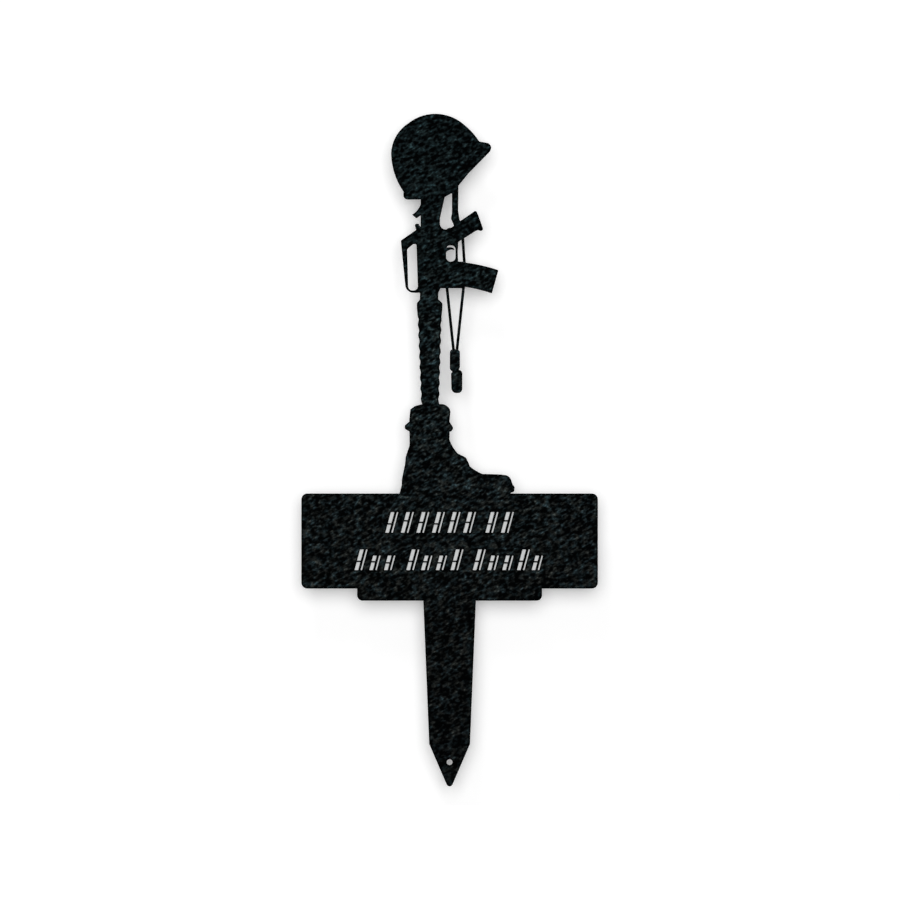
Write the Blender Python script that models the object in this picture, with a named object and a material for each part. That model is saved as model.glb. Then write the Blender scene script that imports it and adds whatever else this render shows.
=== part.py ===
"""Flat steel memorial stake, cut from one sheet: helmet, upturned rifle and boot stand on a nameplate with a
ground spike. Metres, +Z up. The sheet stands in the XZ plane, its middle at y = 0 and its front facing -Y.
The origin is on the spike's centre line at the ground line, the underside of the nameplate's step."""

import math

import bmesh
import bpy
from mathutils import Matrix, Vector

# Sheet
SHEET = 0.0020
CHORD_ERROR = 0.00005
EMBED = 0.0040
WELD_DISTANCE = 0.000001

# Nameplate and its stepped lower edge
NAMEPLATE_WIDTH = 0.2686
NAMEPLATE_HEIGHT = 0.0859
NAMEPLATE_CORNER = 0.0052
STEP_WIDTH = 0.1674
STEP_DROP = 0.0110
STEP_CORNER = 0.0048

# Rows of engraved strokes: the size of one mark, and how many marks each word has
STROKE_DEPTH = 0.0006
STROKE_HEIGHT = 0.0188
LOW_STROKE_HEIGHT = 0.0132
STROKE_SLANT = math.radians(15)
BROAD_STROKE = 0.0033
FINE_STROKE = 0.0013
STROKE_SPACE = 0.0022
STROKE_BRIDGE = 0.0013
STROKE_CORNER = 0.0003
ROW_SPACING = 0.0339
WORD_GAP = 0.0084
UPPER_ROW_PITCH = 0.0141
UPPER_ROW_WORDS = (6, 2)
LOWER_ROW_PITCH = 0.01335
LOWER_ROW_WORDS = (3, 4, 5)

# Ground spike
SPIKE_WIDTH = 0.0474
SPIKE_SHOULDER_WIDTH = 0.0367
SPIKE_SHOULDER_DEPTH = 0.1300
SPIKE_LENGTH = 0.1684
SPIKE_POINT_RADIUS = 0.0028
STAKE_HOLE = 0.0056
STAKE_HOLE_RISE = 0.0218

# Boot; the rifle's axis, which its shaft is centred on, is left of the nameplate's middle
AXIS_X = -0.0181
BOOT_LENGTH = 0.1040
BOOT_HEIGHT = 0.0812
BOOT_BAND_WIDTH = 0.0440
BOOT_BAND_HEIGHT = 0.0088
BOOT_BAND_RISE = 0.0609
BOOT_BAND_SHIFT = -0.0004

# Rifle, butt up: handguard, slip ring, barrel nut, receiver and stock, one above the other
HANDGUARD_LENGTH = 0.0825
HANDGUARD_FOOT_WIDTH = 0.0151
HANDGUARD_HEAD_WIDTH = 0.0211
HANDGUARD_LEAN = 0.0004
RIB_PITCH = 0.0096
RIB_SHIFT = 0.00045
RIB_START = 0.0011
STEPS_A_RIB = 10
RING_WIDTH = 0.0229
RING_HEIGHT = 0.0090
RING_CHAMFER = 0.0035
NUT_BACK = 0.0087
NUT_FRONT = 0.0077
NUT_LENGTH = 0.0062
RECEIVER_LENGTH = 0.0570
RECEIVER_BACK = 0.0084
RECEIVER_FRONT = 0.0098
STOCK_LENGTH = 0.0277
STOCK_BACK = 0.0080
STOCK_FRONT = 0.0092
STOCK_FLARE = 0.0044

# Carry handle behind the receiver, with its slot
HANDLE_REACH = 0.0213
HANDLE_LEAN = 0.0047
HANDLE_LENGTH = 0.0470
HANDLE_CORNER = 0.0071
HANDLE_TIP_CORNER = 0.0010
HANDLE_SILL = 0.0017
SLOT_LENGTH = 0.0425
SLOT_WIDTH = 0.0091
SLOT_GAP = 0.0104
SLOT_CORNER = 0.0040
SIGHT_REACH = 0.0050
SIGHT_HEIGHT = 0.0052
SWIVEL_REACH = 0.0077
SWIVEL_HEIGHT = 0.0124
SWIVEL_RISE = 0.0105

# Magazine and its well, in front of the receiver
WELL_REACH = 0.0318
WELL_RISE = 0.0041
WELL_HEIGHT = 0.0238
MAGAZINE_CURVE = 0.1650
MAGAZINE_WIDTH = 0.0216
MAGAZINE_START = math.radians(7.45)
MAGAZINE_END = math.radians(18.7)
MAGAZINE_END_SKEW = math.radians(0.4)
MAGAZINE_DROP = 0.0007
MAGAZINE_CORNER = 0.0008

# Trigger guard, trigger and pistol grip
GUARD_REACH = 0.0260
GUARD_BAR = 0.0024
GUARD_WIDTH = 0.0088
GUARD_HEIGHT = 0.0151
TRIGGER_BAR = 0.0018
TRIGGER_RISE = 0.0119
TRIGGER_CROWN = 0.0011
TRIGGER_GAP = 0.0007
GRIP_SLOPE = math.radians(35)
GRIP_REACH = 0.0420
GRIP_FALL = 0.0119
GRIP_ROOT_WIDTH = 0.0153
GRIP_END_WIDTH = 0.0180
GRIP_END_RAKE = 0.0046
GRIP_CORNER = 0.0014

# Chin strap, the two cords and the two tags that hang from them
STRAP_WIDTH = 0.0056
STRAP_REACH = 0.0204
STRAP_CROOK = 0.0056
CORD_WIDTH = 0.0023
CORD_SHIFT = 0.0003
CORD_SPREAD = 0.0158
CORD_MEETING = 0.0028
UPPER_CORD_HEAD = 0.0068
UPPER_CORD_FOOT = 0.0085
CORD_FALL = 0.0556
TAG_X = 0.0229
TAG_WIDTH = 0.0089
TAG_LENGTH = 0.0199
LOW_TAG_WIDTH = 0.0100
LOW_TAG_LENGTH = 0.0196
LOW_TAG_SHIFT = 0.0016
TAG_CORNER = 0.0019
TAG_NOTCH = 0.0019
TAG_OVERLAP = 0.0012

# Helmet
HELMET_WIDTH = 0.0904
HELMET_HEIGHT = 0.0774

# Levels, from the ground line up
NAMEPLATE_TOP = STEP_DROP + NAMEPLATE_HEIGHT
BOOT_TOP = NAMEPLATE_TOP + BOOT_HEIGHT
RING_FOOT = BOOT_TOP + HANDGUARD_LENGTH
NUT_FOOT = RING_FOOT + RING_HEIGHT + RING_CHAMFER
RECEIVER_FOOT = NUT_FOOT + NUT_LENGTH
RECEIVER_TOP = RECEIVER_FOOT + RECEIVER_LENGTH
RIM = RECEIVER_TOP + STOCK_LENGTH
WELL_FOOT = RECEIVER_FOOT + WELL_RISE
WELL_TOP = WELL_FOOT + WELL_HEIGHT
TAG_TOP = WELL_FOOT - CORD_FALL


def arc_points(middle, radius, first, sweep):
    """Places along an arc, both ends among them, with chords that keep within CHORD_ERROR of it."""
    chord_angle = 2 * math.acos(1 - min(CHORD_ERROR / radius, 1))
    steps = max(1, math.ceil(abs(sweep) / chord_angle))
    angles = [first + sweep * step / steps for step in range(steps + 1)]
    return [(middle.x + radius * math.cos(a), middle.y + radius * math.sin(a)) for a in angles]


def angle_of(vector):
    return math.atan2(vector.y, vector.x)


def half_turn_at_most(angle):
    """The same direction of turn as a signed angle of no more than half a turn."""
    return (angle + math.pi) % math.tau - math.pi


def rounded(corners):
    """Closed outline through corners (x, z, radius); an arc is no larger than its two sides have room for."""
    outline = []
    for index, (x, z, radius) in enumerate(corners):
        corner = Vector((x, z))
        before = Vector(corners[index - 1][:2]) - corner
        after = Vector(corners[(index + 1) % len(corners)][:2]) - corner
        half_angle = before.angle(after) / 2
        reach = min(radius / math.tan(half_angle), before.length / 2, after.length / 2)
        radius = reach * math.tan(half_angle)
        if radius < CHORD_ERROR:
            outline.append((x, z))
            continue
        inward = (before.normalized() + after.normalized()).normalized()
        middle = corner + inward * radius / math.sin(half_angle)
        first = angle_of(corner + before.normalized() * reach - middle)
        last = angle_of(corner + after.normalized() * reach - middle)
        outline += arc_points(middle, radius, first, half_turn_at_most(last - first))
    return outline


def arc(start, via, end):
    """Corners along the circle through three places, without its last one."""
    start, via, end = Vector(start), Vector(via), Vector(end)
    chord, rise = end - start, via - start
    middle = start + Vector((
        chord.length_squared * rise.y - rise.length_squared * chord.y,
        rise.length_squared * chord.x - chord.length_squared * rise.x,
    )) / (2 * chord.cross(rise))
    first = angle_of(start - middle)
    sweep = half_turn_at_most(angle_of(end - middle) - first)
    return [(x, z, 0) for x, z in arc_points(middle, (start - middle).length, first, sweep)[:-1]]


def circle(x, z, diameter):
    """Closed outline of a round hole."""
    return arc_points(Vector((x, z)), diameter / 2, 0, math.tau)[:-1]


def bar(start, end, width):
    """Closed outline of a straight bar of even width between the middles of its two ends."""
    start, end = Vector(start), Vector(end)
    side = (end - start).orthogonal().normalized() * width / 2
    return [tuple(start + side), tuple(start - side), tuple(end - side), tuple(end + side)]


def on_axis(*corners):
    """Corners (distance right of the rifle's axis, height, radius) as corners on the sheet."""
    return [(AXIS_X + x, z, radius) for x, z, radius in corners]


def flat_solid(name, outline, collection, front=-SHEET / 2, back=SHEET / 2):
    """Closed mesh object: an outline in the XZ plane filled and extruded from its front to its back."""
    curve = bpy.data.curves.new(name, "CURVE")
    curve.dimensions = "2D"
    curve.fill_mode = "BOTH"
    curve.extrude = (back - front) / 2
    spline = curve.splines.new("POLY")
    spline.points.add(len(outline) - 1)
    for point, (x, z) in zip(spline.points, outline):
        point.co = (x, z, 0, 1)
    spline.use_cyclic_u = True
    drawn = bpy.data.objects.new(name, curve)
    collection.objects.link(drawn)
    evaluated = drawn.evaluated_get(bpy.context.evaluated_depsgraph_get())
    solid = bpy.data.objects.new(name, bpy.data.meshes.new_from_object(evaluated))
    solid.matrix_world = drawn.matrix_world
    bpy.data.objects.remove(drawn)
    bpy.data.curves.remove(curve)
    solid.name = name
    collection.objects.link(solid)

    caps = bmesh.new()
    caps.from_mesh(solid.data)
    bmesh.ops.remove_doubles(caps, verts=caps.verts, dist=WELD_DISTANCE)
    upright = Matrix(((1, 0, 0, 0), (0, 0, -1, (front + back) / 2), (0, 1, 0, 0), (0, 0, 0, 1)))
    bmesh.ops.transform(caps, matrix=upright, verts=caps.verts)
    bmesh.ops.recalc_face_normals(caps, faces=caps.faces)
    caps.to_mesh(solid.data)
    caps.free()
    return solid


def nameplate():
    half = NAMEPLATE_WIDTH / 2
    return rounded([
        (-half, STEP_DROP, NAMEPLATE_CORNER),
        (half, STEP_DROP, NAMEPLATE_CORNER),
        (half, NAMEPLATE_TOP, NAMEPLATE_CORNER),
        (-half, NAMEPLATE_TOP, NAMEPLATE_CORNER),
    ])


def step():
    half = STEP_WIDTH / 2
    return rounded([
        (-half, 0, STEP_CORNER),
        (half, 0, STEP_CORNER),
        (half, STEP_DROP + EMBED, 0),
        (-half, STEP_DROP + EMBED, 0),
    ])


def spike():
    """Tapered blade down to its shoulders, then a point whose round end reaches the spike's full length."""
    top, shoulder = SPIKE_WIDTH / 2, SPIKE_SHOULDER_WIDTH / 2
    lean = (top - shoulder) / SPIKE_SHOULDER_DEPTH * EMBED
    fall = SPIKE_LENGTH - SPIKE_POINT_RADIUS - SPIKE_SHOULDER_DEPTH
    tilt = math.atan2(shoulder, fall) - math.asin(SPIKE_POINT_RADIUS / math.hypot(shoulder, fall))
    return rounded([
        (-top - lean, EMBED, 0),
        (-shoulder, -SPIKE_SHOULDER_DEPTH, 0),
        (0, -SPIKE_SHOULDER_DEPTH - shoulder / math.tan(tilt), SPIKE_POINT_RADIUS),
        (shoulder, -SPIKE_SHOULDER_DEPTH, 0),
        (top + lean, EMBED, 0),
    ])


def boot():
    """Boot in profile with its toe to the right, in shares of its own length and height."""
    def at(along, up, radius=0):
        return AXIS_X + along * BOOT_LENGTH, NAMEPLATE_TOP + up * BOOT_HEIGHT, radius * BOOT_HEIGHT

    def curve(*places):
        return arc(*(at(*place)[:2] for place in places))

    return rounded([
        at(-0.26, -EMBED / BOOT_HEIGHT),
        at(-0.262, 0),
        at(-0.243, 0.09, 0.02),
        at(-0.241, 0.16, 0.05),
        at(-0.213, 0.33, 0.10),
        at(-0.208, 0.41, 0.10),
        at(-0.173, 0.54, 0.15),
        at(-0.176, 0.82),
        at(-0.168, 0.94, 0.02),
        at(-0.128, 0.977, 0.02),
        at(-0.070, 0.997),
        at(0.132, 1.0, 0.10),
        at(0.182, 0.94, 0.07),
        at(0.173, 0.82),
        *curve((0.172, 0.60), (0.205, 0.514), (0.268, 0.417)),
        at(0.315, 0.403, 0.03),
        at(0.342, 0.333, 0.03),
        at(0.347, 0.309),
        *curve((0.347, 0.307), (0.412, 0.248), (0.490, 0.205)),
        at(0.610, 0.213, 0.10),
        at(0.697, 0.201, 0.08),
        at(0.723, 0.10, 0.02),
        at(0.740, 0.075, 0.03),
        at(0.736, 0.022, 0.02),
        at(0.706, 0.012),
        at(0.706, -EMBED / BOOT_HEIGHT),
    ])


def boot_band():
    """Ankle band that stands proud of the shaft on both sides."""
    half, foot = BOOT_BAND_WIDTH / 2, NAMEPLATE_TOP + BOOT_BAND_RISE - BOOT_BAND_HEIGHT / 2
    slope = BOOT_BAND_HEIGHT / 4
    left, right = BOOT_BAND_SHIFT - half, BOOT_BAND_SHIFT + half
    return rounded(on_axis(
        (left + slope * 1.8, foot, 0),
        (right - slope, foot, 0),
        (right, foot + slope * 1.3, slope),
        (right - slope * 1.7, foot + BOOT_BAND_HEIGHT, 0),
        (left + slope * 1.8, foot + BOOT_BAND_HEIGHT, 0),
        (left, foot + slope * 2.4, slope / 2),
        (left, foot + slope * 1.1, slope / 2),
    ))


def handguard():
    """Tapered and ribbed: its two sides shift together from rib to rib, and its foot is a little forward."""
    foot = BOOT_TOP - EMBED
    length = HANDGUARD_LENGTH + EMBED
    steps = math.ceil(length / RIB_PITCH * STEPS_A_RIB)
    left, right = [], []
    for index in range(steps + 1):
        rise = length * index / steps
        half = (HANDGUARD_FOOT_WIDTH + (HANDGUARD_HEAD_WIDTH - HANDGUARD_FOOT_WIDTH) * rise / length) / 2
        shift = -RIB_SHIFT * math.cos(math.tau * (length - RIB_START - rise) / RIB_PITCH)
        shift += HANDGUARD_LEAN * (1 - rise / length)
        left.append((AXIS_X - half + shift, foot + rise))
        right.append((AXIS_X + half + shift, foot + rise))
    return right + left[::-1]


def slip_ring():
    """Collar between the handguard and the barrel nut."""
    ring, head = RING_WIDTH / 2, HANDGUARD_HEAD_WIDTH / 2
    lip = RING_HEIGHT / 2
    return rounded(on_axis(
        (-head, RING_FOOT - EMBED, 0),
        (head, RING_FOOT - EMBED, 0),
        (ring, RING_FOOT + lip, RING_HEIGHT),
        (ring, RING_FOOT + RING_HEIGHT, RING_CHAMFER / 4),
        (NUT_FRONT, NUT_FOOT, 0),
        (NUT_FRONT, RECEIVER_FOOT + EMBED, 0),
        (-NUT_BACK, RECEIVER_FOOT + EMBED, 0),
        (-NUT_BACK, NUT_FOOT, 0),
        (-ring, RING_FOOT + RING_HEIGHT, RING_CHAMFER / 4),
        (-ring, RING_FOOT + lip, RING_HEIGHT),
    ))


def receiver():
    """Body of the rifle between the barrel nut and the stock."""
    return rounded(on_axis(
        (-RECEIVER_BACK, RECEIVER_FOOT, 0),
        (NUT_FRONT, RECEIVER_FOOT, 0),
        (RECEIVER_FRONT, WELL_FOOT, 0),
        (RECEIVER_FRONT, RECEIVER_TOP, 0),
        (-RECEIVER_BACK, RECEIVER_TOP, 0),
    ))


def stock():
    """Stock up into the helmet, its front side flaring towards the butt."""
    return rounded(on_axis(
        (-STOCK_BACK, RECEIVER_TOP - EMBED, 0),
        (STOCK_FRONT, RECEIVER_TOP - EMBED, 0),
        (STOCK_FRONT, RECEIVER_TOP + STOCK_LENGTH / 3, STOCK_LENGTH / 3),
        (STOCK_FRONT + STOCK_FLARE, RIM + EMBED, 0),
        (-STOCK_BACK, RIM + EMBED, 0),
    ))


def carry_handle():
    """Sloping handle behind the receiver; its head slopes like the pistol grip."""
    foot_x = -HANDLE_REACH
    head_x = foot_x - HANDLE_LEAN
    head_z = RECEIVER_FOOT + HANDLE_LENGTH
    root = -RECEIVER_BACK - EMBED
    root_z = head_z + (root - head_x) * math.tan(GRIP_SLOPE)
    return rounded(on_axis(
        (foot_x, RECEIVER_FOOT, HANDLE_CORNER),
        (-RECEIVER_BACK + EMBED, RECEIVER_FOOT, 0),
        (-RECEIVER_BACK + EMBED, root_z, 0),
        (root, root_z, 0),
        (head_x, head_z, HANDLE_TIP_CORNER),
    ))


def carry_handle_slot():
    lean = HANDLE_LEAN * SLOT_LENGTH / HANDLE_LENGTH
    foot, head = RECEIVER_FOOT + HANDLE_SILL, RECEIVER_FOOT + HANDLE_SILL + SLOT_LENGTH
    right, left = -SLOT_GAP, -SLOT_GAP - SLOT_WIDTH
    chamfer = SLOT_WIDTH * 0.62
    return rounded(on_axis(
        (left, foot, SLOT_CORNER),
        (right, foot, SLOT_CORNER),
        (right - lean / 3, head, SLOT_CORNER / 2),
        (left - lean / 4 + chamfer, head, SLOT_CORNER / 2),
        (left - lean / 4, head - chamfer * 0.85, SLOT_CORNER / 2),
    ))


def rear_sight():
    """Small knob above the carry handle, in shares of its reach out of the receiver and of its height."""
    def at(out, up, radius=0):
        return -RECEIVER_BACK - out * SIGHT_REACH, RECEIVER_TOP + up * SIGHT_HEIGHT, radius * SIGHT_HEIGHT

    inner = -RECEIVER_BACK + EMBED
    return rounded(on_axis(
        (inner, RECEIVER_TOP - EMBED, 0),
        (-RECEIVER_BACK - 0.72 * SIGHT_REACH, RECEIVER_TOP - EMBED, 0),
        at(0.76, 0.0, 0.20),
        at(1.0, 0.82, 0.15),
        at(0.80, 1.0, 0.15),
        at(0.28, 1.0, 0.10),
        at(0.20, 0.70),
        at(0.0, 0.53),
        (inner, RECEIVER_TOP + 0.53 * SIGHT_HEIGHT, 0),
    ))


def sling_swivel():
    """Hooked loop on the back of the stock, in shares of its reach and height; its upper side is hollow."""
    foot = RECEIVER_TOP + SWIVEL_RISE

    def at(out, up, radius=0):
        return AXIS_X - STOCK_BACK - out * SWIVEL_REACH, foot + up * SWIVEL_HEIGHT, radius * SWIVEL_HEIGHT

    hollow = arc(at(1.0, 0.25)[:2], at(0.31, 0.64)[:2], at(0.0, 1.0)[:2])
    return rounded([
        at(-0.5, 0.22),
        at(0.0, 0.22),
        at(0.52, 0.0, 0.05),
        *hollow,
        at(0.0, 1.0),
        at(-0.5, 1.0),
    ])


def magazine_well():
    return rounded(on_axis(
        (0, WELL_FOOT, 0),
        (WELL_REACH, WELL_FOOT, 0),
        (WELL_REACH, WELL_TOP, MAGAZINE_CORNER),
        (0, WELL_TOP, 0),
    ))


def magazine():
    """Curved box: its two sides are arcs about one centre, which lies far below."""
    middle_z = WELL_TOP - MAGAZINE_DROP - MAGAZINE_CURVE * math.cos(MAGAZINE_START)
    middle_x = WELL_REACH - MAGAZINE_CURVE * math.sin(MAGAZINE_START)

    def side(radius, turns):
        return [(middle_x + radius * math.sin(a), middle_z + radius * math.cos(a), 0) for a in turns]

    def angles(end, steps=8):
        start = MAGAZINE_START - EMBED / MAGAZINE_CURVE
        return [start + (end - start) * index / steps for index in range(steps + 1)]

    upper = side(MAGAZINE_CURVE, angles(MAGAZINE_END - MAGAZINE_END_SKEW))
    lower = side(MAGAZINE_CURVE - MAGAZINE_WIDTH, angles(MAGAZINE_END)[::-1])
    upper[-1] = (*upper[-1][:2], MAGAZINE_CORNER)
    lower[0] = (*lower[0][:2], MAGAZINE_CORNER)
    return rounded(on_axis(*upper, *lower))


def trigger_guard():
    """Block between the magazine well and the grip, which the opening is cut from."""
    return rounded(on_axis(
        (0, WELL_TOP - EMBED, 0),
        (GUARD_REACH, WELL_TOP - EMBED, 0),
        (GUARD_REACH - GUARD_BAR * 0.3, WELL_TOP + GUARD_HEIGHT * 0.6, GUARD_HEIGHT * 0.7),
        (GUARD_REACH, WELL_TOP + GUARD_HEIGHT + EMBED, 0),
        (0, WELL_TOP + GUARD_HEIGHT + EMBED, 0),
    ))


def trigger_opening():
    right = GUARD_REACH - GUARD_BAR
    left = right - GUARD_WIDTH
    foot, head = WELL_TOP, WELL_TOP + GUARD_HEIGHT
    return rounded(on_axis(
        (left, foot, GUARD_WIDTH * 0.48),
        (right, foot, GUARD_WIDTH * 0.48),
        (right, head, GUARD_WIDTH * 0.52),
        (left + GUARD_WIDTH * 0.10, head, GUARD_WIDTH * 0.30),
        (left, foot + GUARD_HEIGHT * 0.62, GUARD_WIDTH * 0.20),
    ))


def trigger():
    """Curved tongue from the opening's back wall, ending short of the guard."""
    right = GUARD_REACH - GUARD_BAR
    left = right - GUARD_WIDTH
    root_x, root_z = left - EMBED / 4, WELL_TOP + TRIGGER_RISE
    crown_x, crown_z = right - GUARD_WIDTH / 2, root_z + TRIGGER_CROWN
    tip_x, tip_z = right - TRIGGER_GAP, root_z - TRIGGER_CROWN / 4
    upper = arc(
        (AXIS_X + root_x, root_z),
        (AXIS_X + crown_x, crown_z),
        (AXIS_X + tip_x, tip_z),
    )
    lower = arc(
        (AXIS_X + tip_x - TRIGGER_BAR / 4, tip_z - TRIGGER_BAR / 2),
        (AXIS_X + crown_x, crown_z - TRIGGER_BAR),
        (AXIS_X + root_x, root_z - TRIGGER_BAR * 3),
    )
    return rounded(upper + lower + on_axis((root_x, root_z - TRIGGER_BAR * 3, 0)))


def pistol_grip():
    """Grip that leaves the receiver at a slope; its end is cut nearly square, with a dent near its toe."""
    slope = Vector((math.cos(GRIP_SLOPE), math.sin(GRIP_SLOPE)))
    across = Vector((-slope.y, slope.x))
    root = Vector((0, RECEIVER_TOP - GRIP_FALL))
    heel = root + slope * (GRIP_REACH / slope.x)
    toe = heel - across * GRIP_END_WIDTH - slope * GRIP_END_RAKE

    def beside(place, along, up, radius):
        """A corner beside the heel or the toe, in shares of the end's width."""
        return place.x + along * GRIP_END_WIDTH, place.y + up * GRIP_END_WIDTH, radius * GRIP_END_WIDTH

    return rounded(on_axis(
        (root.x, root.y, 0),
        (root.x, root.y - GRIP_ROOT_WIDTH, 0),
        beside(toe, -0.38, -0.06, 0.07),
        beside(toe, -0.25, -0.015, 0.11),
        beside(toe, -0.12, -0.07, 0.06),
        (toe.x, toe.y, GRIP_CORNER),
        beside(heel, 0.13, -0.30, 0.33),
        (heel.x, heel.y, GRIP_CORNER),
    ))


def strap_place(across, up, radius=0):
    """Corner beside the strap: shares of its width, from its inner edge, and of the stock's length, up."""
    return STRAP_REACH + across * STRAP_WIDTH, RECEIVER_TOP + up * STOCK_LENGTH, radius * STRAP_WIDTH


def chin_strap():
    """Strap from the helmet's rim down to the grip, with the sheet filled in as far as the stock."""
    return rounded(on_axis(
        (0, RECEIVER_TOP - 2 * EMBED, 0),
        (STRAP_REACH, RECEIVER_TOP - EMBED, 0),
        strap_place(1.46, 0.245),
        strap_place(1.18, 0.32, 0.18),
        strap_place(0.96, 0.61, 0.90),
        (STRAP_REACH + STRAP_WIDTH, RIM + EMBED * 4, 0),
        (0, RIM + EMBED, 0),
    ))


def strap_opening():
    """Gap that the stock, the grip, the strap and the helmet's rim leave between them."""
    stock_front = AXIS_X + STOCK_FRONT
    crook = arc(
        (stock_front, RECEIVER_TOP + STRAP_CROOK),
        (stock_front + STRAP_CROOK * 0.26, RECEIVER_TOP + STRAP_CROOK * 0.32),
        (stock_front + STRAP_CROOK * 0.95, RECEIVER_TOP),
    )
    return rounded(crook + on_axis(
        strap_place(-0.96, 0.0, 0.10),
        strap_place(-0.57, 0.055, 0.18),
        strap_place(-0.11, 0.061, 0.14),
        strap_place(0.32, 0.135, 0.07),
        strap_place(-0.18, 0.37, 0.18),
        strap_place(0.0, 0.54, 0.70),
        (STRAP_REACH, RIM + HELMET_HEIGHT * 0.075, STRAP_WIDTH * 0.10),
        (STOCK_FRONT + STOCK_FLARE, RIM + HELMET_HEIGHT * 0.028, STRAP_WIDTH * 0.20),
        (STOCK_FRONT, RECEIVER_TOP + STOCK_LENGTH * 0.375, STRAP_WIDTH * 0.70),
    ))


def cords():
    """Two cords from the magazine well down to the tags, and one more stretch up to the grip."""
    upper, lower = WELL_FOOT + EMBED, TAG_TOP - TAG_CORNER
    middle, spread, meeting = AXIS_X + TAG_X + CORD_SHIFT, CORD_SPREAD / 2, CORD_MEETING / 2
    grip_z = WELL_TOP + GUARD_HEIGHT + EMBED * 1.6
    upper_head, upper_foot = middle + UPPER_CORD_HEAD, middle + UPPER_CORD_FOOT
    return {
        "left_cord": bar((middle - spread, upper), (middle - meeting, lower), CORD_WIDTH),
        "right_cord": bar((middle + spread, upper), (middle + meeting, lower), CORD_WIDTH),
        "upper_cord": bar((upper_head, grip_z), (upper_foot, WELL_TOP - EMBED), CORD_WIDTH),
    }


def tags():
    """Two tags with cut corners, the lower one a little to the right and round at its foot."""
    left, right = TAG_X - TAG_WIDTH / 2, TAG_X + TAG_WIDTH / 2
    low_left = TAG_X + LOW_TAG_SHIFT - LOW_TAG_WIDTH / 2
    low_right = low_left + LOW_TAG_WIDTH
    waist = TAG_TOP - TAG_LENGTH
    low_top, low_foot = waist + TAG_OVERLAP, waist - LOW_TAG_LENGTH
    cut = TAG_OVERLAP + TAG_CORNER
    return {
        "upper_tag": rounded(on_axis(
            (left + TAG_CORNER, TAG_TOP, TAG_CORNER),
            (left, TAG_TOP - TAG_CORNER, TAG_CORNER),
            (left, waist + TAG_NOTCH, TAG_CORNER),
            (left + TAG_NOTCH + TAG_OVERLAP, waist - TAG_OVERLAP, 0),
            (right - TAG_CORNER, waist - TAG_OVERLAP, 0),
            (right, waist + TAG_NOTCH * 2, TAG_NOTCH),
            (right, TAG_TOP - TAG_CORNER, TAG_CORNER),
            (right - TAG_CORNER, TAG_TOP, TAG_CORNER),
        )),
        "lower_tag": rounded(on_axis(
            (low_left + cut, low_top, TAG_CORNER / 2),
            (low_left, low_top - cut, TAG_CORNER),
            (low_left + TAG_CORNER / 4, low_foot, LOW_TAG_WIDTH * 0.42),
            (low_right, low_foot, LOW_TAG_WIDTH * 0.38),
            (low_right, low_top, LOW_TAG_WIDTH * 0.36),
        )),
    }


def helmet():
    """Helmet seen from its side, tipped forward over the stock, in shares of its own width and height."""
    def at(along, up, radius=0):
        return AXIS_X + along * HELMET_WIDTH, RIM + up * HELMET_HEIGHT, radius * HELMET_HEIGHT

    def curve(*places):
        return arc(*(at(*place)[:2] for place in places))

    return rounded([
        at(-0.262, -0.003, 0.05),
        at(-0.261, 0.09),
        *curve((-0.263, 0.092), (-0.343, 0.272), (-0.385, 0.540)),
        *curve((-0.385, 0.540), (-0.349, 0.708), (-0.218, 0.883)),
        *curve((-0.218, 0.883), (0.069, 0.998), (0.340, 0.876)),
        *curve((0.340, 0.876), (0.440, 0.763), (0.497, 0.674)),
        at(0.497, 0.674),
        at(0.591, 0.654, 0.05),
        at(0.621, 0.612, 0.04),
        at(0.604, 0.560, 0.04),
        at(0.387, 0.302, 0.05),
        at(0.295, 0.170, 0.05),
        at(0.165, 0.033, 0.02),
        at(0.0, 0.0),
    ])


def slanted_stroke(x, z, width, height):
    """Outline of one stroke that leans right; x and z are its lower left corner."""
    lean = height * math.tan(STROKE_SLANT)
    return rounded([
        (x, z, STROKE_CORNER),
        (x + width, z, STROKE_CORNER),
        (x + width + lean, z + height, STROKE_CORNER),
        (x + lean, z + height, STROKE_CORNER),
    ])


def stroke_mark(x, z, height, bridge_share):
    """Broad stroke that a bridge parts in two, with a fine stroke beside it, from the left edge x."""
    lower = (height - STROKE_BRIDGE) * bridge_share
    upper_z = z + lower + STROKE_BRIDGE
    upper_x = x + (lower + STROKE_BRIDGE) * math.tan(STROKE_SLANT)
    return [
        slanted_stroke(x, z, BROAD_STROKE, lower),
        slanted_stroke(upper_x, upper_z, BROAD_STROKE, z + height - upper_z),
        slanted_stroke(x + BROAD_STROKE + STROKE_SPACE, z, FINE_STROKE, height),
    ]


def stroke_row(middle_z, pitch, words, low_every):
    """Outlines of one row's strokes, centred on the nameplate; every low_every-th mark stays full height."""
    mark_width = BROAD_STROKE + STROKE_SPACE + FINE_STROKE + STROKE_HEIGHT * math.tan(STROKE_SLANT)
    gap = pitch - mark_width
    width = sum(words) * pitch - gap + (len(words) - 1) * (WORD_GAP - gap)
    x = -width / 2
    outlines = []
    for word in words:
        for index in range(word):
            height = STROKE_HEIGHT if index % low_every == 0 else LOW_STROKE_HEIGHT
            bridge_share = (0.42, 0.58, 0.50)[index % 3]
            outlines += stroke_mark(x, middle_z - STROKE_HEIGHT / 2, height, bridge_share)
            x += pitch
        x += WORD_GAP - gap
    return outlines


def powder_coat():
    """Black powder coat, nearly matt."""
    material = bpy.data.materials.new("black_powder_coat")
    material.use_nodes = True
    shader = material.node_tree.nodes["Principled BSDF"]
    shader.inputs["Base Color"].default_value = (0.0060, 0.0085, 0.0090, 1)
    shader.inputs["Roughness"].default_value = 0.5
    shader.inputs["Metallic"].default_value = 0.0
    return material


def collection_named(name):
    collection = bpy.data.collections.new(name)
    bpy.context.scene.collection.children.link(collection)
    return collection


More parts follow.
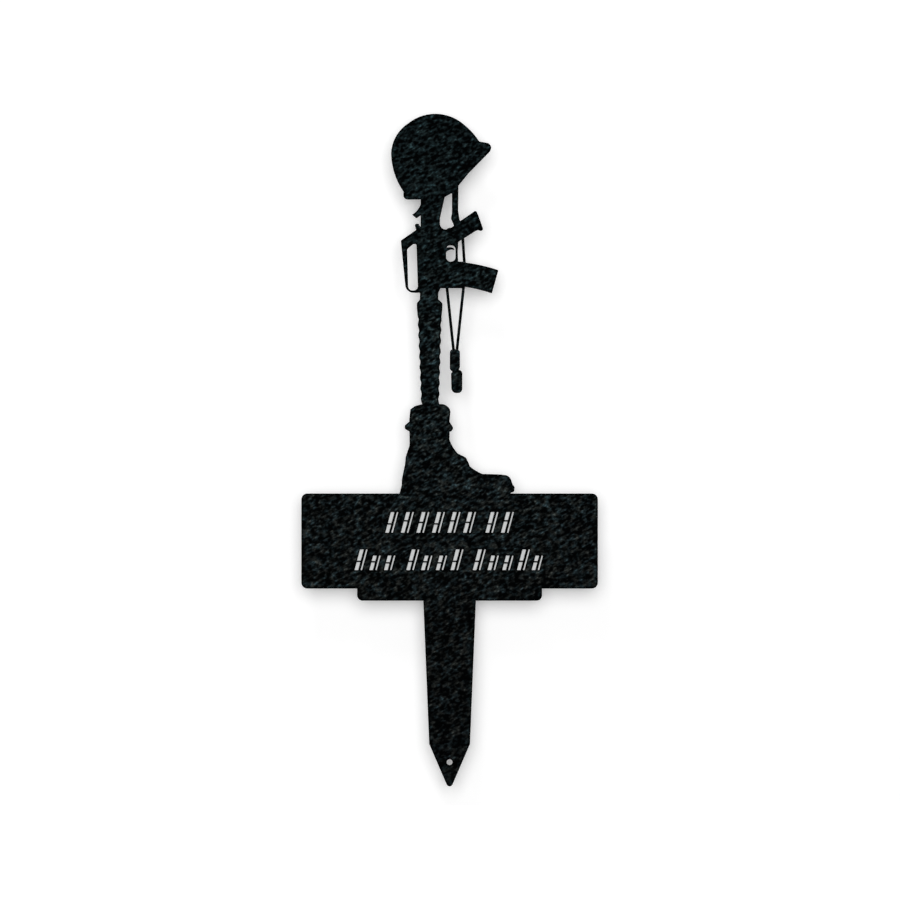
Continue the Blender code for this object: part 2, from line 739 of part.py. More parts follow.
def boolean(target, name, operation, operands):
    """Live exact Boolean of the target with every object of a collection."""
    modifier = target.modifiers.new(name, "BOOLEAN")
    modifier.operation = operation
    modifier.solver = "EXACT"
    modifier.operand_type = "COLLECTION"
    modifier.collection = operands


def main():
    for old in list(bpy.context.scene.objects):
        bpy.data.objects.remove(old)

    parts = collection_named("memorial_stake")
    forms = collection_named("joined_forms")
    openings = collection_named("openings")
    tongues = collection_named("tongues")

    plate = flat_solid("stake_plate", nameplate(), parts)
    plate.data.materials.append(powder_coat())

    joined = {
        "step": step(),
        "spike": spike(),
        "boot": boot(),
        "boot_band": boot_band(),
        "handguard": handguard(),
        "slip_ring": slip_ring(),
        "receiver": receiver(),
        "stock": stock(),
        "carry_handle": carry_handle(),
        "rear_sight": rear_sight(),
        "sling_swivel": sling_swivel(),
        "magazine_well": magazine_well(),
        "magazine": magazine(),
        "trigger_guard": trigger_guard(),
        "pistol_grip": pistol_grip(),
        "chin_strap": chin_strap(),
        "helmet": helmet(),
        **cords(),
        **tags(),
    }
    for name, outline in joined.items():
        flat_solid(name, outline, forms)

    cut_through = {
        "carry_handle_slot": carry_handle_slot(),
        "trigger_opening": trigger_opening(),
        "strap_opening": strap_opening(),
        "stake_hole": circle(0, STAKE_HOLE_RISE - SPIKE_LENGTH, STAKE_HOLE),
    }
    for name, outline in cut_through.items():
        flat_solid(name, outline, openings, -SHEET, SHEET)

    row_middle = STEP_DROP + NAMEPLATE_HEIGHT / 2
    strokes = stroke_row(row_middle + ROW_SPACING / 2, UPPER_ROW_PITCH, UPPER_ROW_WORDS, 1)
    strokes += stroke_row(row_middle - ROW_SPACING / 2, LOWER_ROW_PITCH, LOWER_ROW_WORDS, 3)
    for index, outline in enumerate(strokes):
        flat_solid(f"stroke_{index:02d}", outline, openings, -SHEET, STROKE_DEPTH - SHEET / 2)

    flat_solid("trigger", trigger(), tongues)

    boolean(plate, "join forms", "UNION", forms)
    boolean(plate, "cut openings", "DIFFERENCE", openings)
    boolean(plate, "join trigger", "UNION", tongues)
    for guide in (*forms.objects, *openings.objects, *tongues.objects):
        guide.hide_render = True
        guide.display_type = "WIRE"


main()
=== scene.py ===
"""Looks of the flat steel memorial stake: a black wrinkled powder coat over the whole cut sheet, with rounded
edges, and a pale fill in the rows of shallow strokes. It stands before a white one-sided wall that takes its
soft shadow. Metres, +Z up, front facing -Y, in the frame's own place."""

import math

import bmesh
import bpy
import numpy as np
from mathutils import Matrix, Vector, kdtree, noise
from mathutils.geometry import delaunay_2d_cdt


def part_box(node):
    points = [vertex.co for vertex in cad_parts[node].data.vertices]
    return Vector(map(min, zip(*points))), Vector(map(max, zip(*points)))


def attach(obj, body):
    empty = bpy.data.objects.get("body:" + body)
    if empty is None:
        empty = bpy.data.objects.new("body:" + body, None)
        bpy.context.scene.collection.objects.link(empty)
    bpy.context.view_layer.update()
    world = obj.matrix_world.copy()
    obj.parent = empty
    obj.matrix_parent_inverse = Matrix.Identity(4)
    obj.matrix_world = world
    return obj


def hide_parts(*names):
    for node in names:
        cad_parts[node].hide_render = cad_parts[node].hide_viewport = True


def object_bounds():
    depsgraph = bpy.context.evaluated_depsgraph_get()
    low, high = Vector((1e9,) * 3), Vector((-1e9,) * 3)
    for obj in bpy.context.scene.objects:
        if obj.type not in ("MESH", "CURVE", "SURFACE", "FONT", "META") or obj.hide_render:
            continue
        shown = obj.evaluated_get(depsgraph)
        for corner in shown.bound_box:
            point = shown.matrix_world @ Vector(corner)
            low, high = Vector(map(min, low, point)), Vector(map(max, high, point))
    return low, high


# The picture: what one of its pixels measures on the sheet, where the frame's origin lies in it, and the
# camera that took it
PICTURE_SIDE = 900
PIXEL = 0.000907
ORIGIN_COLUMN = 449.6
ORIGIN_ROW = 600.5
SENSOR = 36.0
LENS = 150.0
FARTHEST_SEEN = 50.0

# Reading the CAD sheet: how near a point lies to its level, how squarely a level's faces look along Y, how
# near the middle of a stroke's floor lies to that of its rim, and how near two points are the same one
LEVEL_ERROR = 0.00002
LEVEL_DIGITS = 5
LEAST_FACING = 0.9
STROKE_MATCH = 0.0005
WELD_DISTANCE = 0.000001

# Edges of the coat: their radii, how far the coat builds up on the cut edges, and how far its painted sheen
# is held back on the walls
EDGE_RADIUS = 0.00022
EDGE_BUILD = 0.00015
STROKE_EDGE_RADIUS = 0.00012
EDGE_STEPS = 2
WALL_PAINTED_SHEEN_HELD_BACK = 0.2
SHARP_ANGLE = math.radians(50)

# A rim that moves inwards: its limits at sharp corners, and how it is drawn back near places where it crosses
SHORTEST_BISECTOR = 0.3
SHARPEST_CORNER = 0.6
DRAW_BACK_ROUNDS = 12
DRAW_BACK = 0.6
CROSSING_REACH = 3

# Mesh of the coat: the outlines' points are no further apart than the inner ones, so that none of those falls
# on an outline's side, and the inner ones keep clear of the rims by a share of their own spacing
OUTLINE_SPACING = 0.0010
FRONT_SPACING = 0.0010
BACK_SPACING = 0.0018
RIM_CLEARANCE = 0.55
SPACING_SLACK = 0.01

# Wrinkles that the mesh carries: ridges, and the smooth rim beside every edge, which is also left without
# painted sheen
WRINKLE_LENGTH = 0.0030
WRINKLE_WIDTH = 0.0017
WRINKLE_RISE = math.radians(27)
WRINKLE_DEPTH = 0.00016
WRINKLE_SLICE = 0.5
SMOOTH_RIM = 0.0016

# Flecks of painted sheen, which stand in for light caught by the coat's ridges: cells a metre, a cell's
# height as a share of its length, and the same for the patches where the painted sheen turns warm or blue and
# for the grain of the strokes' fill
FLECK_SCALE = 460.0
FLECK_STRETCH = 0.55
PATCH_SCALE = 180.0
PATCH_STRETCH = 1.0
FILL_GRAIN_SCALE = 700.0
FILL_GRAIN_STRETCH = 0.8

# Smooth changes of the coat's painted sheen and of its roughness, each as the span that a value is read in
# and the results at the span's two ends
RIDGE_PAINTED_SHEEN = ((-0.5, 0.5), (0.85, 1.0))
RIM_PAINTED_SHEEN = ((0.0, 1.0), (1.0, 0.0))
PAINTED_SHEEN_BLUENESS = ((0.40, 0.60), (0.0, 1.0))
PAINTED_GLINT = ((0.45, 1.0), (0.5, 1.0))
ROUGHNESS = ((0.0, 0.3), (0.90, 0.45))

# The same by height above the ground line, all painted light: the painted sheen grows towards the middle of
# the stake, fades again and turns cooler towards the top
PAINTED_LIGHT_GROWTH = ((-0.15, 0.20), (0.62, 1.35))
PAINTED_LIGHT_FADING = ((0.22, 0.38), (1.0, 0.60))
PAINTED_SHEEN_WARMTH = ((0.0, 0.46), (1.0, 0.25))

# Colours, with the warm, blue and cool painted highlights of the coat's sheen, and the strength and depth of
# the fine bumps
DARK_COAT = (0.0002, 0.0004, 0.0005)
WARM_PAINTED_SHEEN = (0.0635, 0.0720, 0.0660)
BLUE_PAINTED_SHEEN = (0.0425, 0.0745, 0.0860)
COOL_PAINTED_SHEEN = (0.032, 0.081, 0.091)
PALE_FILL = (0.680, 0.690, 0.690)
GREY_FILL = (0.595, 0.605, 0.605)
WHITE = (1, 1, 1, 1)
STUDIO_WHITE = (0.90, 0.90, 0.90, 1)
COAT_BUMP = (0.5, 0.0002)
FILL_BUMP = (0.3, 0.0001)

# Studio: the wall and the floor with the glow of their own, and the sky as it lights, as gloss sees it and as
# the camera sees it
WALL_GAP = 0.020
WALL_SIZE = 6.0
WALL_GLOW = 0.265
FLOOR_GAP = 0.020
FLOOR_SIZE = 8.0
FLOOR_GLOW = 0.70
SKY = 0.15
SKY_IN_GLOSS = 0.05
SKY_IN_VIEW = 1.2

# Lights: the broad one's height and spread as angles, and the small one that catches the coat's ridges
LIGHT_RISE = math.radians(13)
LIGHT_SPREAD = math.radians(62)
LIGHT_STRENGTH = 2.14
RIDGE_LIGHT_PLACE = (-0.5, -0.9, 2.3)
RIDGE_LIGHT_TARGET = (0, 0, 0.14)
RIDGE_LIGHT_SIZE = 0.4
RIDGE_LIGHT_POWER = 8.0


def node_mesh(node):
    """The CAD node's solid as a welded bmesh, read and left as it is."""
    solid = bmesh.new()
    solid.from_mesh(node.data)
    bmesh.ops.remove_doubles(solid, verts=solid.verts, dist=WELD_DISTANCE)
    return solid


def flat_level(solid, level, facing):
    """Loops of (x, z) around the faces that lie at y = level and face that way, with the steel on their left
    as seen from the front."""
    def belongs(face):
        flat = all(abs(vert.co.y - level) < LEVEL_ERROR for vert in face.verts)
        return flat and face.normal.y * facing > LEAST_FACING

    faces = [face for face in solid.faces if belongs(face)]
    level_faces = set(faces)
    follow = {}
    for face in faces:
        for corner in face.loops:
            if corner.link_loop_radial_next.face not in level_faces:
                follow[corner.vert] = corner.link_loop_next.vert
    outlines = []
    while follow:
        first, vert = follow.popitem()
        outline = [first]
        while vert is not first:
            outline.append(vert)
            vert = follow.pop(vert)
        outlines.append(np.array([(vert.co.x, vert.co.z) for vert in outline]))
    return outlines


def evenly_spaced(outline, spacing):
    """The outline with its long sides parted into pieces no longer than the spacing."""
    points = []
    for start, end in zip(outline, np.roll(outline, -1, axis=0)):
        pieces = max(1, math.ceil(np.linalg.norm(end - start) / spacing - SPACING_SLACK))
        points += [start + (end - start) * piece / pieces for piece in range(pieces)]
    return np.array(points)


def ring_sides(rings):
    """The sides of closed rings of points that are numbered one ring after the other."""
    sides, first = [], 0
    for ring in rings:
        sides += [(first + i, first + (i + 1) % len(ring)) for i in range(len(ring))]
        first += len(ring)
    return sides


def held_by(triangles, sides):
    """Triangles that hold one of the sides in its own direction, and those that join them without crossing
    a side."""
    holder = {}
    for triangle in triangles:
        for start, end in zip(triangle, triangle[1:] + triangle[:1]):
            holder[start, end] = triangle
    found = {holder[side] for side in sides if side in holder}
    barrier = set(sides)
    waiting = list(found)
    while waiting:
        triangle = waiting.pop()
        for start, end in zip(triangle, triangle[1:] + triangle[:1]):
            neighbour = holder.get((end, start))
            if neighbour and (start, end) not in barrier and neighbour not in found:
                found.add(neighbour)
                waiting.append(neighbour)
    return [triangle for triangle in triangles if triangle in found]


def triangulated(points, sides):
    """The points that the triangles use, the triangles, and for each of those points the given ones that it
    was, if any."""
    found = delaunay_2d_cdt([Vector(point) for point in points], sides, [], 0, WELD_DISTANCE, True)
    return found[0], found[2], found[3]


def crossings(outline):
    """Places where an outline crosses itself, which the triangulation has to add as points."""
    places, _, sources = triangulated(outline, ring_sides([outline]))
    return [place for place, source in zip(places, sources) if not source]


def inward_offsets(outline, distance, outward_share):
    """For each point, the step that moves the outline into the steel by the distance, or less where it is
    tight there or on the outward side, to which a share of the same step goes."""
    ahead = np.roll(outline, -1, axis=0) - outline
    ahead /= np.linalg.norm(ahead, axis=1, keepdims=True)
    normal = np.stack([-ahead[:, 1], ahead[:, 0]], axis=1)
    bisector = normal + np.roll(normal, 1, axis=0)
    bisector /= np.maximum(np.linalg.norm(bisector, axis=1, keepdims=True), SHORTEST_BISECTOR)
    widening = 1 / np.maximum((bisector * normal).sum(axis=1), SHARPEST_CORNER)
    offsets = bisector * (widening * distance)[:, None]
    for _ in range(DRAW_BACK_ROUNDS):
        tight = np.zeros(len(outline), dtype=bool)
        for rim in (outline + offsets, outline - offsets * outward_share):
            folded = ((np.roll(rim, -1, axis=0) - rim) * ahead).sum(axis=1) < 0
            tight |= folded | np.roll(folded, 1)
            for place in crossings(rim):
                tight |= np.linalg.norm(rim - np.array(place), axis=1) < CROSSING_REACH * distance
        if not tight.any():
            break
        offsets[tight] *= DRAW_BACK
    return offsets


def sides_of(outlines):
    """Every side of the outlines as a row (x, z, next x, next z)."""
    return np.concatenate([np.hstack([outline, np.roll(outline, -1, axis=0)]) for outline in outlines])


def inside_at(sides, columns, z):
    """Which of the columns lie inside the outlines at that height."""
    crossing = sides[(sides[:, 1] <= z) != (sides[:, 3] <= z)]
    share = (z - crossing[:, 1]) / (crossing[:, 3] - crossing[:, 1])
    cuts = np.sort(crossing[:, 0] + share * (crossing[:, 2] - crossing[:, 0]))
    return np.searchsorted(cuts, columns) % 2 == 1


def points_inside(outlines, spacing):
    """Staggered grid of points inside the outlines and clear of them, with the clearance of each."""
    sides = sides_of(outlines)
    rim = np.concatenate(outlines)
    near = kdtree.KDTree(len(rim))
    for index, (x, z) in enumerate(rim):
        near.insert((x, z, 0), index)
    near.balance()
    lowest, highest = rim.min(axis=0), rim.max(axis=0)
    row_height = spacing * math.sqrt(3) / 2
    points, clearances = [], []
    for row in range(int((highest[1] - lowest[1]) / row_height) + 1):
        z = lowest[1] + row * row_height
        columns = np.arange(lowest[0] + (row % 2) * spacing / 2, highest[0], spacing)
        for x in columns[inside_at(sides, columns, z)]:
            clearance = near.find((x, z, 0))[2]
            if clearance > spacing * RIM_CLEARANCE:
                points.append((x, z))
                clearances.append(clearance)
    return np.array(points), np.array(clearances)


def wrinkle_height(x, z):
    """Height of the coat's wrinkles, about -1 to 1: short ridges that rise to the right."""
    along = x * math.cos(WRINKLE_RISE) + z * math.sin(WRINKLE_RISE)
    across = z * math.cos(WRINKLE_RISE) - x * math.sin(WRINKLE_RISE)
    return noise.noise(Vector((along / WRINKLE_LENGTH, across / WRINKLE_WIDTH, WRINKLE_SLICE)))


class CoatMesh:
    """Gathers the coat's points, faces and the values that its material reads: the wrinkle's height, and how
    far its painted sheen is held back, from 1, none and black, to 0, fully flecked with painted sheen."""

    def __init__(self):
        self.places = []
        self.wrinkle = []
        self.painted_sheen_held_back = []
        self.faces = []
        self.fills = []

    def add_points(self, points, y, wrinkle=None, painted_sheen_held_back=None):
        first = len(self.places)
        y = np.broadcast_to(y, len(points))
        self.places += [(x, depth, z) for (x, z), depth in zip(points, y)]
        self.wrinkle += [0.0] * len(points) if wrinkle is None else list(wrinkle)
        self.painted_sheen_held_back += [1.0] * len(points) if painted_sheen_held_back is None else list(painted_sheen_held_back)
        return list(range(first, first + len(points)))

    def soften(self, ring, painted_sheen_held_back):
        """Gives a ring of points another share of painted sheen held back."""
        for index in ring:
            self.painted_sheen_held_back[index] = painted_sheen_held_back

    def add_face(self, corners, fill=False):
        self.faces.append(corners)
        self.fills.append(fill)

    def add_bands(self, outline, offsets, profile):
        """Bands of quads along an outline, facing away from the steel. The profile gives each ring of points
        as a share of the inward offsets and a y. Gives the rings."""
        rings = [self.add_points(outline + offsets * share, y) for share, y in profile]
        for front, back in zip(rings, rings[1:]):
            for a, b, c, d in zip(front, front[1:] + front[:1], back[1:] + back[:1], back):
                self.add_face((a, d, c, b))
        return rings

    def add_flat(self, rings, outlines, y, facing, spacing, fill=False):
        """Triangles at y on the left of the outlines, wrinkled away from their rims unless it is a fill."""
        inner, clearances = points_inside(outlines, spacing)
        added = []
        if len(inner):
            swell = np.clip(clearances / SMOOTH_RIM, 0, 1)
            swell *= swell * (3 - 2 * swell)
            height = np.array([wrinkle_height(x * facing, z) for x, z in inner])
            depth = 0 if fill else height * swell * WRINKLE_DEPTH
            added = self.add_points(inner, y + facing * depth, height, 1 - swell)
        known = [index for ring in rings for index in ring] + added
        flat = np.concatenate([*outlines, inner]) if len(inner) else np.concatenate(outlines)
        sides = ring_sides(rings)
        _, triangles, origins = triangulated(flat, sides)
        triangles = [tuple(origins[corner][0] for corner in triangle) for triangle in triangles]
        for triangle in held_by(triangles, sides):
            corners = tuple(known[source] for source in triangle)
            self.add_face(corners if facing < 0 else corners[::-1], fill)


def rounded_edge(radius, rim_share, level):
    """Profile of a rounded edge that starts at its flat rim: shares of the inward offsets, and y."""
    turns = [math.pi / 2 * step / EDGE_STEPS for step in range(EDGE_STEPS + 1)]
    return [(rim_share - math.sin(turn), level + radius * (1 - math.cos(turn))) for turn in turns]


def coat_through_cut(coat, outline, front, back):
    """Rounded edges and wall along one outline that goes through the sheet; gives its two flat rims."""
    build = EDGE_BUILD / EDGE_RADIUS
    offsets = inward_offsets(outline, EDGE_RADIUS, build)
    front_edge = rounded_edge(EDGE_RADIUS, 1 - build, front)
    back_edge = [(share, front + back - y) for share, y in front_edge[::-1]]
    rings = coat.add_bands(outline, offsets, [*front_edge, (-build, (front + back) / 2), *back_edge])
    coat.soften(rings[len(front_edge)], WALL_PAINTED_SHEEN_HELD_BACK)
    return rings[0], rings[-1], outline + offsets * (1 - build)


def coat_stroke(coat, outline, front, floor):
    """Rounded rim, wall and pale floor of one shallow stroke; gives its flat rim."""
    offsets = inward_offsets(outline, STROKE_EDGE_RADIUS, 0)
    rings = coat.add_bands(outline, offsets, [*rounded_edge(STROKE_EDGE_RADIUS, 1, front), (0, floor)])
    coat.add_flat([rings[-1][::-1]], [outline[::-1]], floor, -1, OUTLINE_SPACING, fill=True)
    return rings[0], outline + offsets


def coated_plate(node):
    """The whole coated sheet as one closed mesh, made around the outlines of the CAD node."""
    solid = node_mesh(node)
    low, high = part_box(node.name)
    front, back = low.y, high.y
    levels = {round(vert.co.y, LEVEL_DIGITS) for vert in solid.verts}
    floor = min(levels - {round(front, LEVEL_DIGITS), round(back, LEVEL_DIGITS)})
    front_outlines = flat_level(solid, front, -1)
    floors = flat_level(solid, floor, -1)
    solid.free()

    coat = CoatMesh()
    stroke_middles = np.array([outline.mean(axis=0) for outline in floors])
    front_rings, front_rims, back_rings, back_rims = [], [], [], []
    for outline in front_outlines:
        spaced = evenly_spaced(outline, OUTLINE_SPACING)
        if np.linalg.norm(stroke_middles - outline.mean(axis=0), axis=1).min() < STROKE_MATCH:
            ring, rim = coat_stroke(coat, spaced, front, floor)
        else:
            ring, far_ring, rim = coat_through_cut(coat, spaced, front, back)
            back_rings.append(far_ring)
            back_rims.append(rim)
        front_rings.append(ring)
        front_rims.append(rim)
    coat.add_flat(front_rings, front_rims, front, -1, FRONT_SPACING)
    coat.add_flat(back_rings, back_rims, back, 1, BACK_SPACING)
    return coat


def mesh_object(name, coat, materials):
    """The gathered coat as one smooth object; its faces take the second material where they are a fill."""
    mesh = bpy.data.meshes.new(name)
    mesh.from_pydata(coat.places, [], coat.faces)
    for material in materials:
        mesh.materials.append(material)
    mesh.polygons.foreach_set("material_index", np.array(coat.fills, dtype=np.int32))
    for label, values in (("wrinkle", coat.wrinkle), ("painted_sheen_held_back", coat.painted_sheen_held_back)):
        mesh.attributes.new(label, "FLOAT", "POINT").data.foreach_set("value", np.array(values, np.float32))
    mesh.validate()
    mesh.shade_smooth()
    mesh.set_sharp_from_angle(angle=SHARP_ANGLE)
    piece = bpy.data.objects.new(name, mesh)
    bpy.context.scene.collection.objects.link(piece)
    return piece


def set_inputs(node, values):
    for label, value in values.items():
        node.inputs[label].default_value = value


def grain_group():
    """Grain of a sprayed finish, from the object's own coordinates: a height, and a mask of flecks on its
    higher places, which the coat takes for its painted sheen and the fill for its grain. Contrast above 1
    leaves fewer bright flecks."""
    group = bpy.data.node_groups.new("sprayed_grain", "ShaderNodeTree")
    for label, value in (
        ("Scale", FLECK_SCALE),
        ("Slant", WRINKLE_RISE),
        ("Stretch", FLECK_STRETCH),
        ("Low", 0.38),
        ("High", 0.78),
        ("Contrast", 1.7),
    ):
        socket = group.interface.new_socket(label, in_out="INPUT", socket_type="NodeSocketFloat")
        socket.default_value = value
    for label in ("Height", "Fleck"):
        group.interface.new_socket(label, in_out="OUTPUT", socket_type="NodeSocketFloat")
    nodes, links = group.nodes, group.links
    given = nodes.new("NodeGroupInput")
    result = nodes.new("NodeGroupOutput")
    place = nodes.new("ShaderNodeTexCoord")
    turn = nodes.new("ShaderNodeVectorRotate")
    turn.rotation_type = "Y_AXIS"
    links.new(place.outputs["Object"], turn.inputs["Vector"])
    links.new(given.outputs["Slant"], turn.inputs["Angle"])
    stretch = nodes.new("ShaderNodeCombineXYZ")
    set_inputs(stretch, {"Y": 1.0, "Z": 1.0})
    links.new(given.outputs["Stretch"], stretch.inputs["X"])
    longer = nodes.new("ShaderNodeVectorMath")
    longer.operation = "MULTIPLY"
    links.new(turn.outputs["Vector"], longer.inputs[0])
    links.new(stretch.outputs["Vector"], longer.inputs[1])
    grain = nodes.new("ShaderNodeTexNoise")
    set_inputs(grain, {"Detail": 1.2, "Roughness": 0.5})
    links.new(longer.outputs["Vector"], grain.inputs["Vector"])
    links.new(given.outputs["Scale"], grain.inputs["Scale"])
    fleck = nodes.new("ShaderNodeMapRange")
    links.new(grain.outputs["Fac"], fleck.inputs["Value"])
    links.new(given.outputs["Low"], fleck.inputs["From Min"])
    links.new(given.outputs["High"], fleck.inputs["From Max"])
    sharper = nodes.new("ShaderNodeMath")
    sharper.operation = "POWER"
    links.new(fleck.outputs["Result"], sharper.inputs[0])
    links.new(given.outputs["Contrast"], sharper.inputs[1])
    links.new(grain.outputs["Fac"], result.inputs["Height"])
    links.new(sharper.outputs["Value"], result.inputs["Fleck"])
    return group


def new_material(name, shader_values):
    material = bpy.data.materials.new(name)
    material.use_nodes = True
    nodes, links = material.node_tree.nodes, material.node_tree.links
    shader = nodes["Principled BSDF"]
    set_inputs(shader, shader_values)
    return material, nodes, links, shader


def placed_grain(nodes, group, scale, stretch):
    grain = nodes.new("ShaderNodeGroup")
    grain.node_tree = group
    set_inputs(grain, {"Scale": scale, "Stretch": stretch})
    return grain


def attribute_value(nodes, label):
    reader = nodes.new("ShaderNodeAttribute")
    reader.attribute_name = label
    return reader.outputs["Fac"]


def height_above_ground(nodes, links):
    place = nodes.new("ShaderNodeTexCoord")
    parts = nodes.new("ShaderNodeSeparateXYZ")
    links.new(place.outputs["Object"], parts.inputs["Vector"])
    return parts.outputs["Z"]


def changed(nodes, links, value, change):
    """A value after one of the smooth changes."""
    (lowest, highest), (first, last) = change
    node = nodes.new("ShaderNodeMapRange")
    node.interpolation_type = "SMOOTHSTEP"
    set_inputs(node, {"From Min": lowest, "From Max": highest, "To Min": first, "To Max": last})
    links.new(value, node.inputs["Value"])
    return node.outputs["Result"]


def product(nodes, links, first, *others):
    """All the values multiplied together."""
    for other in others:
        node = nodes.new("ShaderNodeMath")
        node.operation = "MULTIPLY"
        links.new(first, node.inputs[0])
        links.new(other, node.inputs[1])
        first = node.outputs["Value"]
    return first


def colour_mix(nodes, links, share, first, second):
    """From the first colour to the second by the share; the second may be a socket."""
    node = nodes.new("ShaderNodeMix")
    node.data_type = "RGBA"
    node.inputs["A"].default_value = (*first, 1)
    if isinstance(second, tuple):
        node.inputs["B"].default_value = (*second, 1)
    else:
        links.new(second, node.inputs["B"])
    links.new(share, node.inputs["Factor"])
    return node.outputs["Result"]


def add_bump(nodes, links, shader, height, bump_size):
    strength, depth = bump_size
    bump = nodes.new("ShaderNodeBump")
    set_inputs(bump, {"Strength": strength, "Distance": depth})
    links.new(height, bump.inputs["Height"])
    links.new(bump.outputs["Normal"], shader.inputs["Normal"])


def black_coat_with_painted_sheen(grain):
    """Black wrinkled powder coat with painted sheen: faint warm and blue flecks of painted highlight on its
    ridges, stronger on the middle of the stake and cooler towards the top as painted light, and black rims
    left without it."""
    material, nodes, links, shader = new_material("black_wrinkle_coat_painted_sheen", {"Specular IOR Level": 0.02})
    # The flecks are painted highlights, light caught by the ridges, held back near the rims.
    blobs = placed_grain(nodes, grain, FLECK_SCALE, FLECK_STRETCH)
    on_ridge = changed(nodes, links, attribute_value(nodes, "wrinkle"), RIDGE_PAINTED_SHEEN)
    away_from_rim = changed(nodes, links, attribute_value(nodes, "painted_sheen_held_back"), RIM_PAINTED_SHEEN)
    fleck = product(nodes, links, blobs.outputs["Fleck"], on_ridge, away_from_rim)

    # Colour of the painted sheen: warm or blue in random patches, and cooler towards the top as painted
    # light.
    patches = placed_grain(nodes, grain, PATCH_SCALE, PATCH_STRETCH)
    height = height_above_ground(nodes, links)
    towards_blue = changed(nodes, links, patches.outputs["Height"], PAINTED_SHEEN_BLUENESS)
    painted_sheen = colour_mix(nodes, links, towards_blue, WARM_PAINTED_SHEEN, BLUE_PAINTED_SHEEN)
    painted_sheen = colour_mix(nodes, links, changed(nodes, links, height, PAINTED_SHEEN_WARMTH), COOL_PAINTED_SHEEN, painted_sheen)

    # Painted light by height: the painted sheen is strongest on the middle of the stake and weaker at both
    # ends.
    painted_light_growth = changed(nodes, links, height, PAINTED_LIGHT_GROWTH)
    painted_light_fading = changed(nodes, links, height, PAINTED_LIGHT_FADING)
    # The brightest flecks get a painted glint before the painted sheen goes into the base colour.
    painted_glint = product(nodes, links, fleck, changed(nodes, links, fleck, PAINTED_GLINT), painted_light_growth, painted_light_fading)
    links.new(colour_mix(nodes, links, painted_glint, DARK_COAT, painted_sheen), shader.inputs["Base Color"])
    links.new(changed(nodes, links, fleck, ROUGHNESS), shader.inputs["Roughness"])
    add_bump(nodes, links, shader, blobs.outputs["Height"], COAT_BUMP)
    return material


def pale_fill(grain):
    """Pale grey fill on the floors of the strokes."""
    values = {"Specular IOR Level": 0.3, "Roughness": 0.7}
    material, nodes, links, shader = new_material("pale_stroke_fill", values)
    fine = placed_grain(nodes, grain, FILL_GRAIN_SCALE, FILL_GRAIN_STRETCH)
    colour = colour_mix(nodes, links, fine.outputs["Fleck"], PALE_FILL, GREY_FILL)
    links.new(colour, shader.inputs["Base Color"])
    add_bump(nodes, links, shader, fine.outputs["Height"], FILL_BUMP)
    return material


def plain_white(name, one_sided, glow):
    """Matt white of the wall and the floor with a glow of its own; one-sided, it is clear from behind."""
    material, nodes, links, shader = new_material(name, {
        "Base Color": STUDIO_WHITE,
        "Roughness": 0.9,
        "Specular IOR Level": 0.0,
        "Emission Color": WHITE,
        "Emission Strength": glow,
    })
    if one_sided:
        clear = nodes.new("ShaderNodeBsdfTransparent")
        side = nodes.new("ShaderNodeNewGeometry")
        mix = nodes.new("ShaderNodeMixShader")
        links.new(side.outputs["Backfacing"], mix.inputs["Fac"])
        links.new(shader.outputs["BSDF"], mix.inputs[1])
        links.new(clear.outputs["BSDF"], mix.inputs[2])
        links.new(mix.outputs["Shader"], nodes["Material Output"].inputs["Surface"])
    return material


def stage_plane(name, size, location, rotation, material):
    """A plane of the studio, which only the camera sees, so that it lights and shades nothing."""
    bpy.ops.mesh.primitive_plane_add(size=size, location=location, rotation=rotation)
    plane = bpy.context.object
    plane.name = name
    plane.data.materials.append(material)
    plane.visible_diffuse = False
    plane.visible_glossy = False
    plane.visible_shadow = False


def studio(low, high):
    """White floor under the spike's tip and white wall close behind the sheet."""
    wall_place = (0, high.y + WALL_GAP, (low.z + high.z) / 2)
    wall_white = plain_white("wall_white", True, WALL_GLOW)
    stage_plane("studio_wall", WALL_SIZE, wall_place, (math.pi / 2, 0, 0), wall_white)
    floor_place = (0, 0, low.z - FLOOR_GAP)
    floor_white = plain_white("floor_white", False, FLOOR_GLOW)
    stage_plane("studio_floor", FLOOR_SIZE, floor_place, (0, 0, 0), floor_white)


def hang_light(name, light, place, shines):
    """Puts a light in the scene, shining along a direction."""
    lamp = bpy.data.objects.new(name, light)
    lamp.location = place
    lamp.rotation_euler = shines.to_track_quat("-Z", "Y").to_euler()
    bpy.context.scene.collection.objects.link(lamp)


def broad_light(name, shines_to_y):
    """Soft light as broad as a wall of cloth, a little above the sheet, on its front or on its back."""
    light = bpy.data.lights.new(name, "SUN")
    light.angle = LIGHT_SPREAD
    light.energy = LIGHT_STRENGTH
    shines = Vector((0, shines_to_y * math.cos(LIGHT_RISE), -math.sin(LIGHT_RISE)))
    hang_light(name, light, (0, 0, 0), shines)


def ridge_light(name):
    """Small soft light high on the left in front, for the ridges of the coat."""
    light = bpy.data.lights.new(name, "AREA")
    light.shape = "DISK"
    light.size = RIDGE_LIGHT_SIZE
    light.energy = RIDGE_LIGHT_POWER
    hang_light(name, light, RIDGE_LIGHT_PLACE, Vector(RIDGE_LIGHT_TARGET) - Vector(RIDGE_LIGHT_PLACE))


def plain_background(nodes, strength):
    background = nodes.new("ShaderNodeBackground")
    set_inputs(background, {"Color": WHITE, "Strength": strength})
    return background.outputs["Background"]


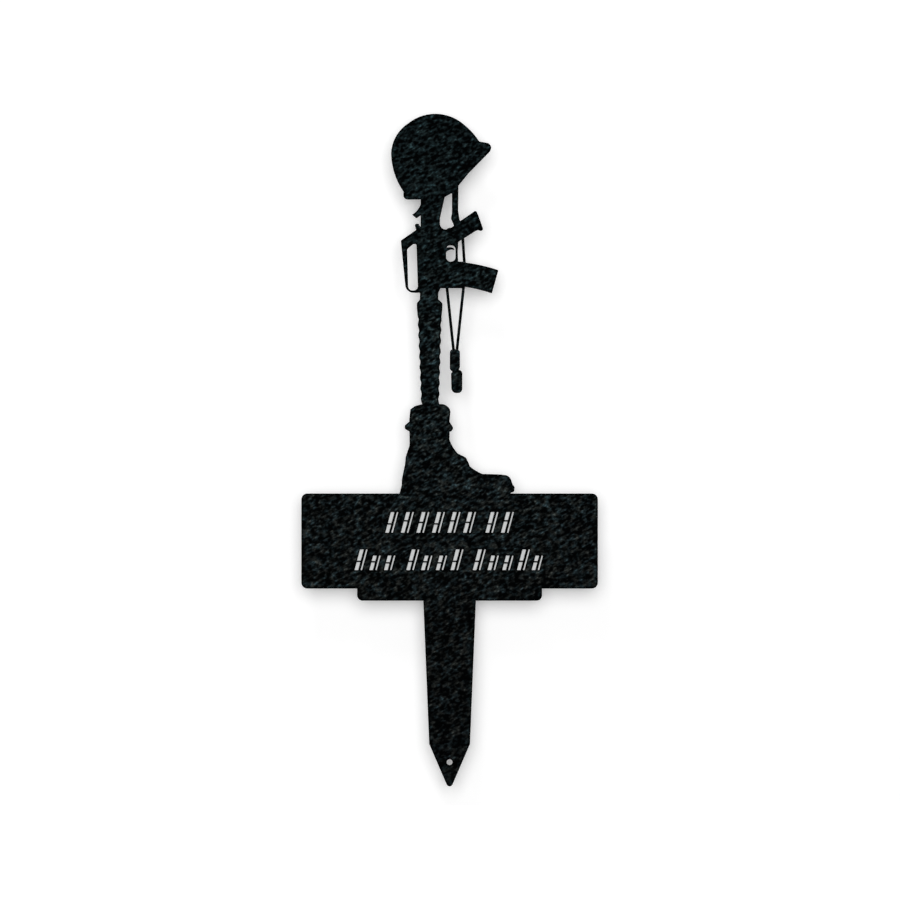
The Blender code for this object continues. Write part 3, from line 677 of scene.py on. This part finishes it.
def surroundings():
    """White sky, with a strength of its own for gloss and one for the camera."""
    world = bpy.data.worlds.new("studio_surroundings")
    world.use_nodes = True
    nodes, links = world.node_tree.nodes, world.node_tree.links
    nodes.remove(nodes["Background"])
    path = nodes.new("ShaderNodeLightPath")
    seen = plain_background(nodes, SKY)
    for ray, strength in (("Is Glossy Ray", SKY_IN_GLOSS), ("Is Camera Ray", SKY_IN_VIEW)):
        mix = nodes.new("ShaderNodeMixShader")
        links.new(path.outputs[ray], mix.inputs["Fac"])
        links.new(seen, mix.inputs[1])
        links.new(plain_background(nodes, strength), mix.inputs[2])
        seen = mix.outputs["Shader"]
    links.new(seen, nodes["World Output"].inputs["Surface"])
    bpy.context.scene.world = world


def camera():
    """Straight from the front, framed so that the sheet lies where the picture shows it."""
    data = bpy.data.cameras.new("picture_camera")
    data.sensor_width = SENSOR
    data.lens = LENS
    data.clip_end = FARTHEST_SEEN
    eye = bpy.data.objects.new("picture_camera", data)
    distance = PICTURE_SIDE * PIXEL * LENS / SENSOR
    column, row = PICTURE_SIDE / 2 - ORIGIN_COLUMN, PICTURE_SIDE / 2 - ORIGIN_ROW
    eye.location = (column * PIXEL, -distance, -row * PIXEL)
    eye.rotation_euler = (math.pi / 2, 0, 0)
    bpy.context.scene.collection.objects.link(eye)
    bpy.context.scene.camera = eye


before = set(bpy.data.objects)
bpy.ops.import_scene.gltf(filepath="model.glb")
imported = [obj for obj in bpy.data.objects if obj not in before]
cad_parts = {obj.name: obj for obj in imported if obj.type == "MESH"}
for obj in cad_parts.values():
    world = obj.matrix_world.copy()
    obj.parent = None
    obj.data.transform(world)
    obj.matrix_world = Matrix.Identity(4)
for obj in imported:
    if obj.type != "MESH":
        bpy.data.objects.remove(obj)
cad_low, cad_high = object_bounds()

camera()
surroundings()
broad_light("front_light", 1)
broad_light("back_light", -1)
ridge_light("ridge_light")
studio(cad_low, cad_high)

grain = grain_group()
coat = coated_plate(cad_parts["stake_plate"])
plate = mesh_object("coated_stake_plate", coat, [black_coat_with_painted_sheen(grain), pale_fill(grain)])
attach(plate, "root")
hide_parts("stake_plate")

bpy.context.scene.view_settings.view_transform = "Standard"
